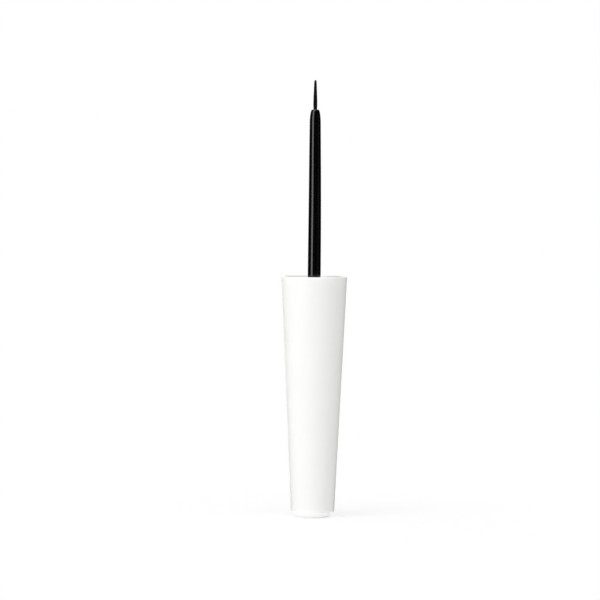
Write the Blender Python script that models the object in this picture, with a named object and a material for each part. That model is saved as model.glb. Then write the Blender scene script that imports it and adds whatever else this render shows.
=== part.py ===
"""Brush applicator of a dip eyeliner: a tapered cap that carries a slim stem with a fine brush.

The cap stands on its closed end and the brush points up. Every turned piece shares the Z axis, and heights
are measured from the plane of the closed end. A bottle's neck screws into the mouth at the rim, round the stem.
"""

from math import cos, pi, radians, sin, sqrt

import bmesh
import bpy
from mathutils import Matrix, Vector
from mathutils.geometry import delaunay_2d_cdt

MM = 0.001

# Outer cap: one tapered moulding, open at the rim and closed at its narrow end
cap_length = 57.8 * MM
rim_radius = 7.94 * MM
end_radius = 5.14 * MM
rim_flare = 0.06 * MM
flare_length = 3.0 * MM
cap_wall = 1.2 * MM
end_wall = 1.6 * MM
end_chamfer = 1.4 * MM
floor_round = 0.8 * MM
rim_round = 0.3 * MM
mouth_lead = 0.25 * MM
gate_radius = 1.0 * MM
gate_depth = 0.2 * MM

# Bead inside the rim, which the collar of the inner cap snaps past
bead_depth = 0.6 * MM
bead_width = 0.9 * MM
bead_height = 0.35 * MM

# Ribs inside the outer cap: they key the inner cap against turning and stop it at the seat
rib_count = 8
rib_width = 0.9 * MM
rib_drop = 0.6 * MM
rib_lead = 0.8 * MM
seat_width = 1.0 * MM
seat_length = 7.5 * MM
rib_fade = 3.0 * MM
embed_share = 0.5

# Inner cap: the threaded insert, with its deck and the boss that holds the stem
collar_thickness = 1.2 * MM
mouth_depth = 8.0 * MM
deck_thickness = 1.1 * MM
insert_wall = 0.9 * MM
groove_depth = 0.35 * MM
boss_length = 7.5 * MM
boss_wall = 1.1 * MM
edge_break = 0.2 * MM

# Seal washer: the foam liner that the lip of the bottle presses on
washer_thickness = 1.0 * MM
washer_play = 0.15 * MM

# Stem: rod, flange and snap plug in one moulding
stem_reach = 39.9 * MM
rod_root_radius = 1.51 * MM
rod_neck_radius = 1.28 * MM
nose_length = 3.5 * MM
nose_lip = 0.07 * MM
root_fillet = 0.5 * MM
flange_radius = 3.2 * MM
flange_thickness = 0.9 * MM
plug_radius = 1.9 * MM
barb_height = 0.3 * MM
barb_land = 0.5 * MM
barb_nose = 1.6 * MM
core_radius = 0.9 * MM
core_depth = 8.0 * MM
slit_count = 4
slit_width = 0.6 * MM
slit_length = 5.0 * MM

# Ferrule: the crimped tube that holds the brush inside the tip of the stem
ferrule_length = 4.0 * MM
ferrule_wall = 0.15 * MM
ferrule_recess = 0.1 * MM
crimp_depth = 0.06 * MM
crimp_width = 0.8 * MM

# Brush: strands that swell a little above their root and then taper to the tip
tuft_length = 7.1 * MM
tuft_radius = 0.43 * MM
root_length = 3.0 * MM
root_recess = 0.2 * MM
root_margin = 0.08 * MM
strand_count = 300
strand_sides = 3
strand_shrink_share = 0.36
spiral_reach_share = 0.95
tip_round_share = 0.07
tuft_height_shares = (0.17, 0.62, 1.0)
tuft_radius_shares = (0.93, 1.0, 0.8, 0.44)
strand_size_shares = (1.0, 1.0, 0.8, 0.4)

# Clearances between pieces, and how far a cutter runs past what it cuts
press_gap = 0.1 * MM
fine_gap = 0.03 * MM
cutter_overrun = 0.5 * MM
weld_distance = 0.001 * MM

# Facets
cap_steps = 48
rod_steps = 32
fine_steps = 24
arc_steps = 4
nose_steps = 8
rod_sections = 6
sharp_angle = radians(30)
golden_angle = pi * (3 - sqrt(5))


def cone_radius(height):
    """Radius of the outer cap's cone at a height above its closed end."""
    return end_radius + (rim_radius - end_radius) * height / cap_length


def outer_radius(height):
    """Radius of the outer cap's outside: the cone, with a slight flare that grows as a square to the rim."""
    way = max(0, 1 - (cap_length - height) / flare_length)
    return cone_radius(height) + rim_flare * way**2


def wall_radius(height):
    """Radius of the outer cap's inside at a height above its closed end."""
    return cone_radius(height) - cap_wall


# Heights and radii that follow from the sizes above, from the rim down into the cap
bead_bottom = cap_length - bead_depth - bead_width
collar_top = bead_bottom - press_gap
collar_bottom = collar_top - collar_thickness
deck_top = collar_top - mouth_depth
deck_bottom = deck_top - deck_thickness
skirt_radius = wall_radius(deck_bottom) - press_gap
insert_bore = skirt_radius - insert_wall
groove_floor = skirt_radius - groove_depth
boss_bore = plug_radius + press_gap
boss_radius = boss_bore + boss_wall
boss_bottom = deck_bottom - boss_length

rib_top = collar_bottom - rib_drop
rib_face = groove_floor + press_gap
seat_top = deck_bottom - press_gap
seat_face = rib_face - seat_width

washer_bottom = deck_top + press_gap
washer_top = washer_bottom + washer_thickness
flange_bottom = washer_top + press_gap
flange_top = flange_bottom + flange_thickness
barb_top = boss_bottom - press_gap
barb_radius = plug_radius + barb_height
plug_bottom = barb_top - barb_land - barb_nose

# Heights and radii at the tip of the stem, built outwards from the brush
stem_top = cap_length + stem_reach
nose_base = stem_top - nose_length
bundle_radius = tuft_radius * tuft_radius_shares[0]
root_radius = bundle_radius + root_margin
ferrule_bore = root_radius + fine_gap
ferrule_radius = ferrule_bore + ferrule_wall
tip_bore = ferrule_radius + fine_gap
nose_end = tip_bore + nose_lip
ferrule_top = stem_top - ferrule_recess
ferrule_bottom = ferrule_top - ferrule_length
bore_floor = ferrule_bottom - fine_gap
root_top = ferrule_top - root_recess
root_bottom = root_top - root_length
crimp_height = (root_top + root_bottom) / 2
strand_length = stem_top + tuft_length - root_top


def arc(centre, radius, start, end):
    """Points of a quarter round in an outline, as (radius, height), from angle start to angle end in degrees."""
    turns = [radians(start + (end - start) * step / arc_steps) for step in range(arc_steps + 1)]
    return [(centre[0] + radius * cos(turn), centre[1] + radius * sin(turn)) for turn in turns]


def to_object(name, form, datum=0.0):
    """Makes an object of a bmesh drawn in heights above the closed end, with its origin at the datum height."""
    bmesh.ops.recalc_face_normals(form, faces=form.faces)
    form.transform(Matrix.Translation((0, 0, -datum)))
    mesh = bpy.data.meshes.new(name)
    form.to_mesh(mesh)
    form.free()
    mesh.shade_smooth()
    mesh.set_sharp_from_angle(angle=sharp_angle)
    made = bpy.data.objects.new(name, mesh)
    made.location = (0, 0, datum)
    bpy.context.scene.collection.objects.link(made)
    return made


def turned(name, outline, steps, datum):
    """Spins an outline of (radius, height) points about Z. One that starts off the axis is closed into a ring."""
    form = bmesh.new()
    corners = [form.verts.new((radius, 0, height)) for radius, height in outline]
    pairs = list(zip(corners, corners[1:]))
    if outline[0][0] > 0:
        pairs.append((corners[-1], corners[0]))
    sides = [form.edges.new(pair) for pair in pairs]
    bmesh.ops.spin(
        form,
        geom=corners + sides,
        cent=(0, 0, 0),
        axis=(0, 0, 1),
        angle=2 * pi,
        steps=steps,
        use_merge=True,
    )
    bmesh.ops.remove_doubles(form, verts=form.verts, dist=weld_distance)
    return to_object(name, form, datum)


def blades(name, outline, width, count):
    """Flat blades of one (radius, height) outline, set evenly round the axis, as a hidden helper for a Boolean."""
    form = bmesh.new()
    for number in range(count):
        face = form.faces.new([form.verts.new((radius, -width / 2, height)) for radius, height in outline])
        swept = bmesh.ops.extrude_face_region(form, geom=[face])["geom"]
        far_side = [item for item in swept if isinstance(item, bmesh.types.BMVert)]
        bmesh.ops.translate(form, verts=far_side, vec=(0, width, 0))
        turn = Matrix.Rotation(2 * pi * number / count, 3, "Z")
        bmesh.ops.rotate(form, verts=list(face.verts) + far_side, cent=(0, 0, 0), matrix=turn)
    helper = to_object(name, form)
    helper.hide_render = True
    helper.display_type = "WIRE"
    return helper


def combine(body, helper, operation):
    """Joins the helper to the body, or cuts it out, as a live Boolean."""
    modifier = body.modifiers.new(helper.name, "BOOLEAN")
    modifier.operation = operation
    modifier.solver = "EXACT"
    modifier.object = helper


def finish(body, colour, roughness, metallic=0.0):
    """Gives the body its own material."""
    material = bpy.data.materials.new(body.name)
    material.use_nodes = True
    shader = material.node_tree.nodes["Principled BSDF"]
    shader.inputs["Base Color"].default_value = (*colour, 1.0)
    shader.inputs["Roughness"].default_value = roughness
    shader.inputs["Metallic"].default_value = metallic
    material.diffuse_color = (*colour, 1.0)
    body.data.materials.append(material)
    return body


def make_outer_cap():
    """The white shell: a cone of even wall, with a chamfered end, a snap bead at the mouth and keying ribs."""
    corner_height = end_wall + floor_round
    corner_centre = (wall_radius(corner_height) - floor_round, corner_height)
    floor = [(0, end_wall)] + arc(corner_centre, floor_round, -90, 0)
    bead = []
    for step in range(arc_steps + 1):
        height = bead_bottom + bead_width * step / arc_steps
        bead.append((wall_radius(height) - bead_height * sin(pi * step / arc_steps), height))
    mouth = [
        (wall_radius(cap_length - mouth_lead), cap_length - mouth_lead),
        (wall_radius(cap_length) + mouth_lead, cap_length),
    ]
    rim_height = cap_length - rim_round
    rim = arc((outer_radius(rim_height) - rim_round, rim_height), rim_round, 90, 0)
    flare = []
    for step in range(1, arc_steps + 1):
        height = rim_height - (flare_length - rim_round) * step / arc_steps
        flare.append((outer_radius(height), height))
    end = [
        (outer_radius(end_chamfer), end_chamfer),
        (outer_radius(end_chamfer) - end_chamfer, 0),
        (gate_radius, 0),
        (gate_radius - gate_depth, gate_depth),
        (0, gate_depth),
    ]
    shell = turned("outer_cap", floor + bead + mouth + rim + flare + end, cap_steps, 0)

    buried = cap_wall * embed_share
    foot = seat_top - seat_length
    rib_bottom = foot - rib_fade
    rib = [
        (wall_radius(rib_top) + buried, rib_top),
        (wall_radius(rib_top), rib_top),
        (rib_face, rib_top - rib_lead),
        (rib_face, seat_top),
        (seat_face, seat_top),
        (seat_face, foot),
        (wall_radius(rib_bottom), rib_bottom),
        (wall_radius(rib_bottom) + buried, rib_bottom),
    ]
    combine(shell, blades("outer_cap_ribs", rib, rib_width, rib_count), "UNION")
    return finish(shell, (0.93, 0.93, 0.92), 0.22)


def make_inner_cap():
    """The threaded insert: collar, keyed skirt, deck and boss. The thread is left to the finish."""
    outline = [
        (wall_radius(collar_top) - press_gap - edge_break, collar_top),
        (wall_radius(collar_top) - press_gap, collar_top - edge_break),
        (wall_radius(collar_bottom) - press_gap, collar_bottom),
        (skirt_radius, collar_bottom),
        (skirt_radius, deck_bottom + edge_break),
        (skirt_radius - edge_break, deck_bottom),
        (boss_radius, deck_bottom),
        (boss_radius, boss_bottom + edge_break),
        (boss_radius - edge_break, boss_bottom),
        (boss_bore, boss_bottom),
        (boss_bore, deck_top),
        (insert_bore, deck_top),
        (insert_bore, collar_top - edge_break),
        (insert_bore + edge_break, collar_top),
    ]
    insert = turned("inner_cap", outline, cap_steps, deck_top)
    groove_top = rib_top + press_gap
    groove = [
        (groove_floor, groove_top),
        (groove_floor, deck_bottom - cutter_overrun),
        (skirt_radius + cutter_overrun, deck_bottom - cutter_overrun),
        (skirt_radius + cutter_overrun, groove_top),
    ]
    groove_width = rib_width + 2 * press_gap
    combine(insert, blades("inner_cap_grooves", groove, groove_width, rib_count), "DIFFERENCE")
    return finish(insert, (0.86, 0.87, 0.85), 0.4)


def make_seal_washer():
    """The foam liner on the deck, round the plug and under the flange."""
    outline = [
        (insert_bore - washer_play, washer_top),
        (insert_bore - washer_play, washer_bottom),
        (boss_bore, washer_bottom),
        (boss_bore, washer_top),
    ]
    washer = turned("seal_washer", outline, cap_steps, washer_bottom)
    return finish(washer, (0.9, 0.9, 0.87), 0.8)


def rod_outline():
    """The rod from its neck down to the flange: the radius grows with the square of the way to the neck."""
    foot = flange_top + root_fillet
    points = []
    for section in range(rod_sections + 1):
        share = 1 - section / rod_sections
        radius = rod_root_radius - (rod_root_radius - rod_neck_radius) * share**2
        points.append((radius, foot + (nose_base - foot) * share))
    return points


def nose_outline():
    """The tip of the stem down to the neck: a quarter ellipse from the lip round the ferrule."""
    points = []
    for step in range(nose_steps):
        turn = pi / 2 * (1 - step / nose_steps)
        radius = nose_end + (rod_neck_radius - nose_end) * cos(turn)
        points.append((radius, nose_base + nose_length * sin(turn)))
    return points


def make_stem():
    """The black stem: a bored nose, a long tapered rod, a flange and a slit plug with a snap barb."""
    fillet_centre = (rod_root_radius + root_fillet, flange_top + root_fillet)
    fillet = arc(fillet_centre, root_fillet, 180, 270)[1:]
    outline = [
        (0, bore_floor),
        (tip_bore, bore_floor),
        (tip_bore, stem_top),
        *nose_outline(),
        *rod_outline(),
        *fillet,
        (flange_radius - edge_break, flange_top),
        (flange_radius, flange_top - edge_break),
        (flange_radius, flange_bottom),
        (plug_radius, flange_bottom),
        (plug_radius, barb_top),
        (barb_radius, barb_top),
        (barb_radius, barb_top - barb_land),
        (plug_radius - barb_height, plug_bottom),
        (core_radius, plug_bottom),
        (core_radius, plug_bottom + core_depth),
        (0, plug_bottom + core_depth),
    ]
    stem = turned("stem", outline, rod_steps, flange_bottom)
    slit = [
        (core_radius * embed_share, plug_bottom + slit_length),
        (core_radius * embed_share, plug_bottom - cutter_overrun),
        (barb_radius + cutter_overrun, plug_bottom - cutter_overrun),
        (barb_radius + cutter_overrun, plug_bottom + slit_length),
    ]
    combine(stem, blades("stem_slits", slit, slit_width, slit_count), "DIFFERENCE")
    return finish(stem, (0.008, 0.008, 0.009), 0.18)


def root_outline(margin):
    """The side of the brush's root from top to bottom, with the waist of the crimp, set off by a margin."""
    radius = root_radius + margin
    return [
        (radius, root_top),
        (radius, crimp_height + crimp_width / 2),
        (radius - crimp_depth, crimp_height),
        (radius, crimp_height - crimp_width / 2),
        (radius, root_bottom),
    ]


def make_tuft_ferrule():
    """The thin tube in the stem's nose, crimped on the root of the brush."""
    waist = slice(1, -1)
    outside = root_outline(fine_gap + ferrule_wall)[waist]
    inside = root_outline(fine_gap)[waist]
    outline = [
        (ferrule_radius, ferrule_top),
        *outside,
        (ferrule_radius, ferrule_bottom),
        (ferrule_bore, ferrule_bottom),
        *reversed(inside),
        (ferrule_bore, ferrule_top),
    ]
    ferrule = turned("tuft_ferrule", outline, fine_steps, ferrule_top)
    return finish(ferrule, (0.78, 0.75, 0.68), 0.3, metallic=1.0)


def strand_feet():
    """Corners of the strands' feet, as a sunflower spiral in a unit circle that no two of them share."""
    spacing = spiral_reach_share * sqrt(pi / strand_count)
    feet = []
    for number in range(strand_count):
        reach = spiral_reach_share * sqrt((number + 0.5) / strand_count)
        turn = number * golden_angle
        centre = Vector((cos(turn), sin(turn))) * reach
        for side in range(strand_sides):
            corner = turn + 2 * pi * side / strand_sides
            feet.append(centre + Vector((cos(corner), sin(corner))) * spacing * strand_shrink_share)
    return feet


def grow_strands(form, feet):
    """Extrudes each foot in three lengths. All strands keep their share of the brush's width, so none cross."""
    for level, height_share in enumerate(tuft_height_shares):
        width_ratio = tuft_radius_shares[level + 1] / tuft_radius_shares[level]
        size_ratio = strand_size_shares[level + 1] / strand_size_shares[level]
        envelope = tuft_radius * tuft_radius_shares[level]
        feet = bmesh.ops.extrude_discrete_faces(form, faces=feet)["faces"]
        for face in feet:
            centre = face.calc_center_median()
            outwards = (centre.x**2 + centre.y**2) / envelope**2
            height = root_top + strand_length * height_share * (1 - tip_round_share * outwards)
            for corner in face.verts:
                corner.co.x = centre.x * width_ratio + (corner.co.x - centre.x) * size_ratio
                corner.co.y = centre.y * width_ratio + (corner.co.y - centre.y) * size_ratio
                corner.co.z = height


def close_root(form):
    """Draws the rim of the root down through the crimp and closes its lower end."""
    rim = [edge for edge in form.edges if edge.is_boundary]
    for radius, height in root_outline(0)[1:]:
        drawn = bmesh.ops.extrude_edge_only(form, edges=rim)["geom"]
        for corner in [item for item in drawn if isinstance(item, bmesh.types.BMVert)]:
            corner.co = (*(corner.co.xy.normalized() * radius), height)
        rim = [item for item in drawn if isinstance(item, bmesh.types.BMEdge) and item.is_boundary]
    bmesh.ops.edgeloop_fill(form, edges=rim)


def make_brush_tuft():
    """The brush: strands grown from the fused slice of their root, by extruding each foot."""
    ring = [2 * pi * step / fine_steps for step in range(fine_steps)]
    rim = [Vector((cos(turn), sin(turn))) * root_radius / bundle_radius for turn in ring]
    feet = strand_feet()
    first = len(rim)
    loops = [list(range(first))]
    for start in range(first, first + len(feet), strand_sides):
        loops.append(list(range(start, start + strand_sides)))
    points, _, faces, _, _, sources = delaunay_2d_cdt(rim + feet, [], loops, 1, 0)

    form = bmesh.new()
    corners = [form.verts.new((*(point * bundle_radius), root_top)) for point in points]
    strands = []
    for face, source in zip(faces, sources):
        made = form.faces.new([corners[index] for index in face])
        if len(source) > 1:
            strands.append(made)
    grow_strands(form, strands)
    close_root(form)
    brush = to_object("brush_tuft", form, root_top)
    return finish(brush, (0.012, 0.011, 0.011), 0.45)


def main():
    for left_over in list(bpy.data.objects):
        bpy.data.objects.remove(left_over)
    applicator = bpy.data.objects.new("applicator", None)
    bpy.context.scene.collection.objects.link(applicator)
    pieces = [
        make_outer_cap(),
        make_inner_cap(),
        make_seal_washer(),
        make_stem(),
        make_tuft_ferrule(),
        make_brush_tuft(),
    ]
    for piece in pieces:
        piece.parent = applicator
    print("neck space:", round(2 * insert_bore / MM, 2), "mm bore,", round(mouth_depth / MM, 2), "mm deep")


main()
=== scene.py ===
# %% [markdown]
# # Dressing the applicator of a dip eyeliner
#
# The object is the half of an eyeliner that a hand holds: a white cap that narrows to a closed end, and out
# of its open rim a thin black stem with a fine brush. Here it stands on its closed end with the brush up.
# The frame gives every piece its size and place. This lesson gives each one its fine surface and its finish,
# and then lights it softly on white, where a black stem and a white cap both have to keep their shape.

# %% Load the frame
from math import cos, pi, radians, sin

import bpy
import numpy as np
from mathutils import Matrix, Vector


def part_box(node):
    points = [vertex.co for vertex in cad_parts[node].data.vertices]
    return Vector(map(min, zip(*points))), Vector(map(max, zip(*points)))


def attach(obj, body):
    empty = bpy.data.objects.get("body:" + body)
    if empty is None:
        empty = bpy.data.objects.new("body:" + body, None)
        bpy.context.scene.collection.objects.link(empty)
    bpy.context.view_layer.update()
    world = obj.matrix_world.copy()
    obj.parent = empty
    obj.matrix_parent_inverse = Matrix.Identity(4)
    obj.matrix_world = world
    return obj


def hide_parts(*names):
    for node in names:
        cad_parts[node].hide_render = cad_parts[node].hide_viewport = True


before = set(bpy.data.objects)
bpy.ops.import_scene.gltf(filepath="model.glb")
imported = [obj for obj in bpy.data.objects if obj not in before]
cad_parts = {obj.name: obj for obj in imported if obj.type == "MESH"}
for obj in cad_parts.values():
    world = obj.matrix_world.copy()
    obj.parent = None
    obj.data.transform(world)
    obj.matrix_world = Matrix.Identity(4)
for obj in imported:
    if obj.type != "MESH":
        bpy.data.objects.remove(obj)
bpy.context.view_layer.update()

print("frame nodes:", sorted(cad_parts))

# %% [markdown]
# Everything below is drawn in millimetres, because the pieces are small, and turned into metres in one place,
# where a mesh is made. The frame's boxes say how tall and how wide each piece is, so no height that it knows
# is typed again.

# %% Heights and radii from the frame
MM = 0.001


def reach_of(node):
    """Lowest height, highest height and largest radius of a node of the frame, in millimetres."""
    low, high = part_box(node)
    return low.z / MM, high.z / MM, high.x / MM


cap_length = reach_of("outer_cap")[1]
insert_foot, collar_top, collar_radius = reach_of("inner_cap")
washer_bottom, washer_top, washer_radius = reach_of("seal_washer")
plug_foot, stem_top, flange_radius = reach_of("stem")
ferrule_foot, ferrule_top, ferrule_radius = reach_of("tuft_ferrule")
root_foot, brush_tip, root_radius = reach_of("brush_tuft")
print(f"cap {cap_length:.1f} mm long, stem to {stem_top:.1f} mm, brush tip at {brush_tip:.1f} mm")

# %% [markdown]
# ## A surface from a grid of points
#
# Nearly every piece is turned about one axis, and the rest are only a little less simple. So each is worked
# out as a grid of points with numpy: rows run along an outline and columns run round the axis. A grid is
# quick to compute, and a rib, a screw thread or a parting line is then only a change of radius somewhere on
# it. The Screw modifier would turn the outline as well, but couldn't put the thread on the bore.

# %% Make a mesh from points and faces
SHARP_ANGLE = radians(32)


def signed_volume(points, faces):
    """Volume inside the faces: each fan triangle (a, b, c) adds a . (b x c) / 6, negative when inside out."""
    total = 0.0
    for group in faces:
        corners = points[group]
        for last in range(2, group.shape[1]):
            a, b, c = corners[:, 0], corners[:, last - 1], corners[:, last]
            total += np.einsum("ij,ij->", a, np.cross(b, c)) / 6
    return total


def make_piece(name, points, faces):
    """Puts points in millimetres and groups of faces into a smooth mesh, with all faces pointing outwards."""
    volume = signed_volume(points, faces)
    if volume < 0:
        faces = [group[:, ::-1] for group in faces]
    mesh = bpy.data.meshes.new(name)
    mesh.from_pydata(points * MM, [], [face for group in faces for face in group.tolist()])
    mesh.shade_smooth()
    mesh.set_sharp_from_angle(angle=SHARP_ANGLE)
    piece = bpy.data.objects.new(name, mesh)
    bpy.context.scene.collection.objects.link(piece)
    print(f"{name}: {len(mesh.polygons)} faces, {abs(volume):.1f} cubic mm")
    return piece


# %% Join the points of a grid
def grid_faces(rows, columns, ring_rows):
    """Quads between neighbours of a grid. Columns always close round the axis, rows only in a ring."""
    ids = np.arange(rows * columns).reshape(rows, columns)
    below = np.roll(ids, -1, axis=0) if ring_rows else ids[1:]
    here = ids if ring_rows else ids[:-1]
    corners = [here, np.roll(here, -1, axis=1), np.roll(below, -1, axis=1), below]
    return np.stack(corners, axis=-1).reshape(-1, 4)


def closed_body(grid):
    """Points and faces of a body whose outline starts and ends on the axis. The first and the last row become
    one point each, with a fan of triangles round it."""
    body = grid[1:-1]
    rows, columns = body.shape[:2]
    points = np.concatenate([body.reshape(-1, 3), grid[:1, 0], grid[-1:, 0]])
    first, last = rows * columns, rows * columns + 1
    near = np.arange(columns)
    far = near + (rows - 1) * columns
    start_fan = np.stack([np.full(columns, first), np.roll(near, -1), near], axis=-1)
    end_fan = np.stack([np.full(columns, last), far, np.roll(far, -1)], axis=-1)
    return points, [grid_faces(rows, columns, False), start_fan, end_fan]


def solid_piece(name, grid):
    """A piece that is one closed body."""
    return make_piece(name, *closed_body(grid))


def ring_piece(name, grid):
    """A closed ring: its outline doesn't touch the axis, and its last row joins its first."""
    rows, columns = grid.shape[:2]
    return make_piece(name, grid.reshape(-1, 3), [grid_faces(rows, columns, True)])


# %% Carry an outline round the axis
def turned(radius, height, angle):
    """Grid of an outline turned about Z: the point at angle t is (r cos t, r sin t, z). The radii and heights
    are columns, one row to a point of the outline, and the angles are a row."""
    radius, height, angle = np.broadcast_arrays(radius, height, angle)
    return np.stack([radius * np.cos(angle), radius * np.sin(angle), height], axis=-1)


def even_angles(count):
    """Angles of count columns, once round the axis."""
    return np.arange(count) * 2 * pi / count


# %% [markdown]
# A moulded edge is never quite sharp: it has a small round, and that round is what catches the light. So an
# outline is a short list of corners with the round that each one has. Long straights get more points, and two
# of them close to the rounds, so that the smooth shading of a round doesn't leak along the straight.

# %% Draw an outline with rounded corners
ROUND_STEPS = 6
LEAST_TURN = radians(2)
LONGEST_STRAIGHT = 0.9
GUARD = 0.05
GUARDED_FROM = 0.2


def rounded(corners):
    """Outline through corners of (radius, height, round). A round of size r touches both sides at
    r / tan(a / 2) from the corner, where a is the angle between them, and its points turn evenly about its
    centre. A corner that hardly turns stays one point."""
    spots = np.array([corner[:2] for corner in corners], float)
    outline = [spots[:1]]
    for before, spot, after, corner in zip(spots[:-2], spots[1:-1], spots[2:], corners[1:-1]):
        size = corner[2]
        to_before = (before - spot) / np.linalg.norm(before - spot)
        to_after = (after - spot) / np.linalg.norm(after - spot)
        half = np.arccos(np.clip(to_before @ to_after, -1, 1)) / 2
        sweep = pi - 2 * half
        if size == 0 or sweep < LEAST_TURN:
            outline.append(spot[None])
            continue
        middle = (to_before + to_after) / np.linalg.norm(to_before + to_after)
        centre = spot + middle * size / np.sin(half)
        start = spot + to_before * size / np.tan(half) - centre
        end = spot + to_after * size / np.tan(half) - centre
        share = np.linspace(0, 1, ROUND_STEPS + 1)[:, None]
        arc = (start * np.sin((1 - share) * sweep) + end * np.sin(share * sweep)) / np.sin(sweep)
        outline.append(centre + arc)
    outline.append(spots[-1:])
    return np.concatenate(outline)


def with_straights(outline, longest=LONGEST_STRAIGHT):
    """The outline with points added on its long straights: guards near both ends, and even steps between."""
    parts = []
    for start, end in zip(outline[:-1], outline[1:]):
        length = np.linalg.norm(end - start)
        shares = [0.0]
        if length > GUARDED_FROM:
            shares.extend(np.linspace(GUARD / length, 1 - GUARD / length, 2 + int(length / longest)))
        parts.append(start + (end - start) * np.array(shares)[:, None])
    parts.append(outline[-1:])
    return np.concatenate(parts)


def smooth_step(share):
    """Eases a share from 0 to 1 as 3 s^2 - 2 s^3, flat at both ends."""
    share = np.clip(share, 0, 1)
    return share * share * (3 - 2 * share)


# %% [markdown]
# ## The outer cap
#
# The white shell is one moulding. Its cone narrows evenly from the rim, which flares a hair's breadth, to a
# chamfered closed end with the small recess of the gate, where the plastic was let in. Inside the mouth a low
# bead holds the insert, and eight ribs below it keep the insert from turning. The ribs are a change of the
# inner radius over a few columns, so the shell stays one closed surface with no Boolean.

# %% Cone of the outer cap
cone_rim_radius = 7.94
cone_end_radius = 5.14
flare_length = 3.0
rim_flare = 0.077
cap_wall = 1.2

flare_foot = cap_length - flare_length


def cone_radius(height):
    """Radius of the cone, which grows evenly from the closed end to the rim."""
    return cone_end_radius + (cone_rim_radius - cone_end_radius) * height / cap_length


def skin_radius(height):
    """Radius of the outside: the cone, plus a flare that grows as a square over its last stretch."""
    way = np.clip(1 - (cap_length - height) / flare_length, 0, 1)
    return cone_radius(height) + rim_flare * way**2


def wall_radius(height):
    """Radius of the inside, one wall within the cone."""
    return cone_radius(height) - cap_wall


print(f"cone {2 * cone_rim_radius:.2f} mm wide at the rim, {2 * cone_end_radius:.2f} mm at the end")

# %% Closed end and outside of the outer cap
end_chamfer = 1.4
end_edge_round = 0.22
foot_edge_round = 0.12
gate_radius = 1.0
gate_depth = 0.2
gate_edge_round = 0.08
stub_radius = 0.4
stub_height = 0.1
stub_draft = 0.05
stub_top_round = 0.04
stub_foot_round = 0.03

stub_top = gate_depth - stub_height
end_corners = [
    (0, stub_top, 0),
    (stub_radius, stub_top, stub_top_round),
    (stub_radius + stub_draft, gate_depth, stub_foot_round),
    (gate_radius - gate_depth, gate_depth, gate_edge_round),
    (gate_radius, 0, gate_edge_round),
    (cone_radius(end_chamfer) - end_chamfer, 0, foot_edge_round),
    (cone_radius(end_chamfer), end_chamfer, end_edge_round),
    (skin_radius(flare_foot), flare_foot, 0),
]
outside = with_straights(rounded(end_corners))
print(f"closed end and outside: {len(outside)} rows")

# %% [markdown]
# A round has to be a little smaller than the side that it starts on, or its first point would fall on that
# side's end and leave a face without area. The slack below is taken off wherever a round fills a side.

# %% Flare, lip and bead of the outer cap
round_slack = 0.02
flare_rows = 10
lip_round = 0.45
lip_lean = 0.002
mouth_lead = 0.42
mouth_edge_round = 0.06
bead_top_depth = 0.6
bead_width = 0.9
bead_height = 0.35
bead_rows = 12

flare_heights = np.linspace(flare_foot, cap_length - lip_round, flare_rows)[1:]
flare = np.stack([skin_radius(flare_heights), flare_heights], axis=1)
lip_corners = [
    (*flare[-1], 0),
    (flare[-1, 0] + lip_lean, cap_length, lip_round - round_slack),
    (wall_radius(cap_length) + mouth_lead, cap_length, mouth_edge_round),
    (wall_radius(cap_length - mouth_lead), cap_length - mouth_lead, mouth_edge_round),
    (wall_radius(cap_length - bead_top_depth), cap_length - bead_top_depth, 0),
]
lip = with_straights(rounded(lip_corners))[1:]

bead_share = np.linspace(0, 1, bead_rows + 1)[1:]
bead_z = cap_length - bead_top_depth - bead_width * bead_share
bead = np.stack([wall_radius(bead_z) - bead_height * np.sin(pi * bead_share) ** 2, bead_z], axis=1)
print(f"flare {len(flare)} rows, lip {len(lip)}, bead {len(bead)}")

# %% [markdown]
# Seen from the axis, a rib starts with a lead-in slope and goes on as a face that keys into the insert. Below
# that it stands further in, and the insert rests on the step between the two, the seat. Its foot then fades
# into the wall. The ribs have to fit the insert, so the sizes that the two share come here too.

# %% Ribs inside the outer cap
rib_count = 8
rib_width = 0.9
rib_side = 0.06
rib_drop = 0.6
rib_lead = 0.8
rib_fade = 3.0
seat_width = 1.0
seat_length = 7.5
seat_slope = 0.03
mouth_depth = 8.0
deck_thickness = 1.1
collar_thickness = 1.2
groove_depth = 0.35
insert_wall = 0.9
insert_gap = 0.1

deck_top = collar_top - mouth_depth
deck_bottom = deck_top - deck_thickness
collar_bottom = collar_top - collar_thickness
skirt_radius = wall_radius(deck_bottom) - insert_gap
bore_radius = skirt_radius - insert_wall
groove_floor = skirt_radius - groove_depth
rib_top = collar_bottom - rib_drop
rib_face = groove_floor + insert_gap
seat_top = deck_bottom - insert_gap
seat_foot = seat_top - seat_length
rib_foot = seat_foot - rib_fade
rib_line = np.array(
    [
        (wall_radius(rib_top), rib_top),
        (rib_face, rib_top - rib_lead),
        (rib_face, seat_top + seat_slope),
        (rib_face - seat_width, seat_top - seat_slope),
        (rib_face - seat_width, seat_foot),
        (wall_radius(rib_foot), rib_foot),
    ]
)
print(f"ribs from {rib_foot:.1f} to {rib_top:.1f} mm, with their seat at {seat_top:.1f} mm")

# %% Columns that meet the ribs
ANGLE_DECIMALS = 6


def across_ribs(angle, width, side):
    """1 on a rib and 0 between ribs, easing over a narrow side, from the angle to the nearest of the ribs."""
    pitch = 2 * pi / rib_count
    off = np.abs((angle + pitch / 2) % pitch - pitch / 2) * bore_radius
    return smooth_step((width / 2 + side - off) / side)


def merged_angles(*groups):
    """All the angles of the groups in one rising row, within one turn. Those that round to the same value are
    one."""
    return np.unique((np.concatenate(groups) % (2 * pi)).round(ANGLE_DECIMALS))


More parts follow.
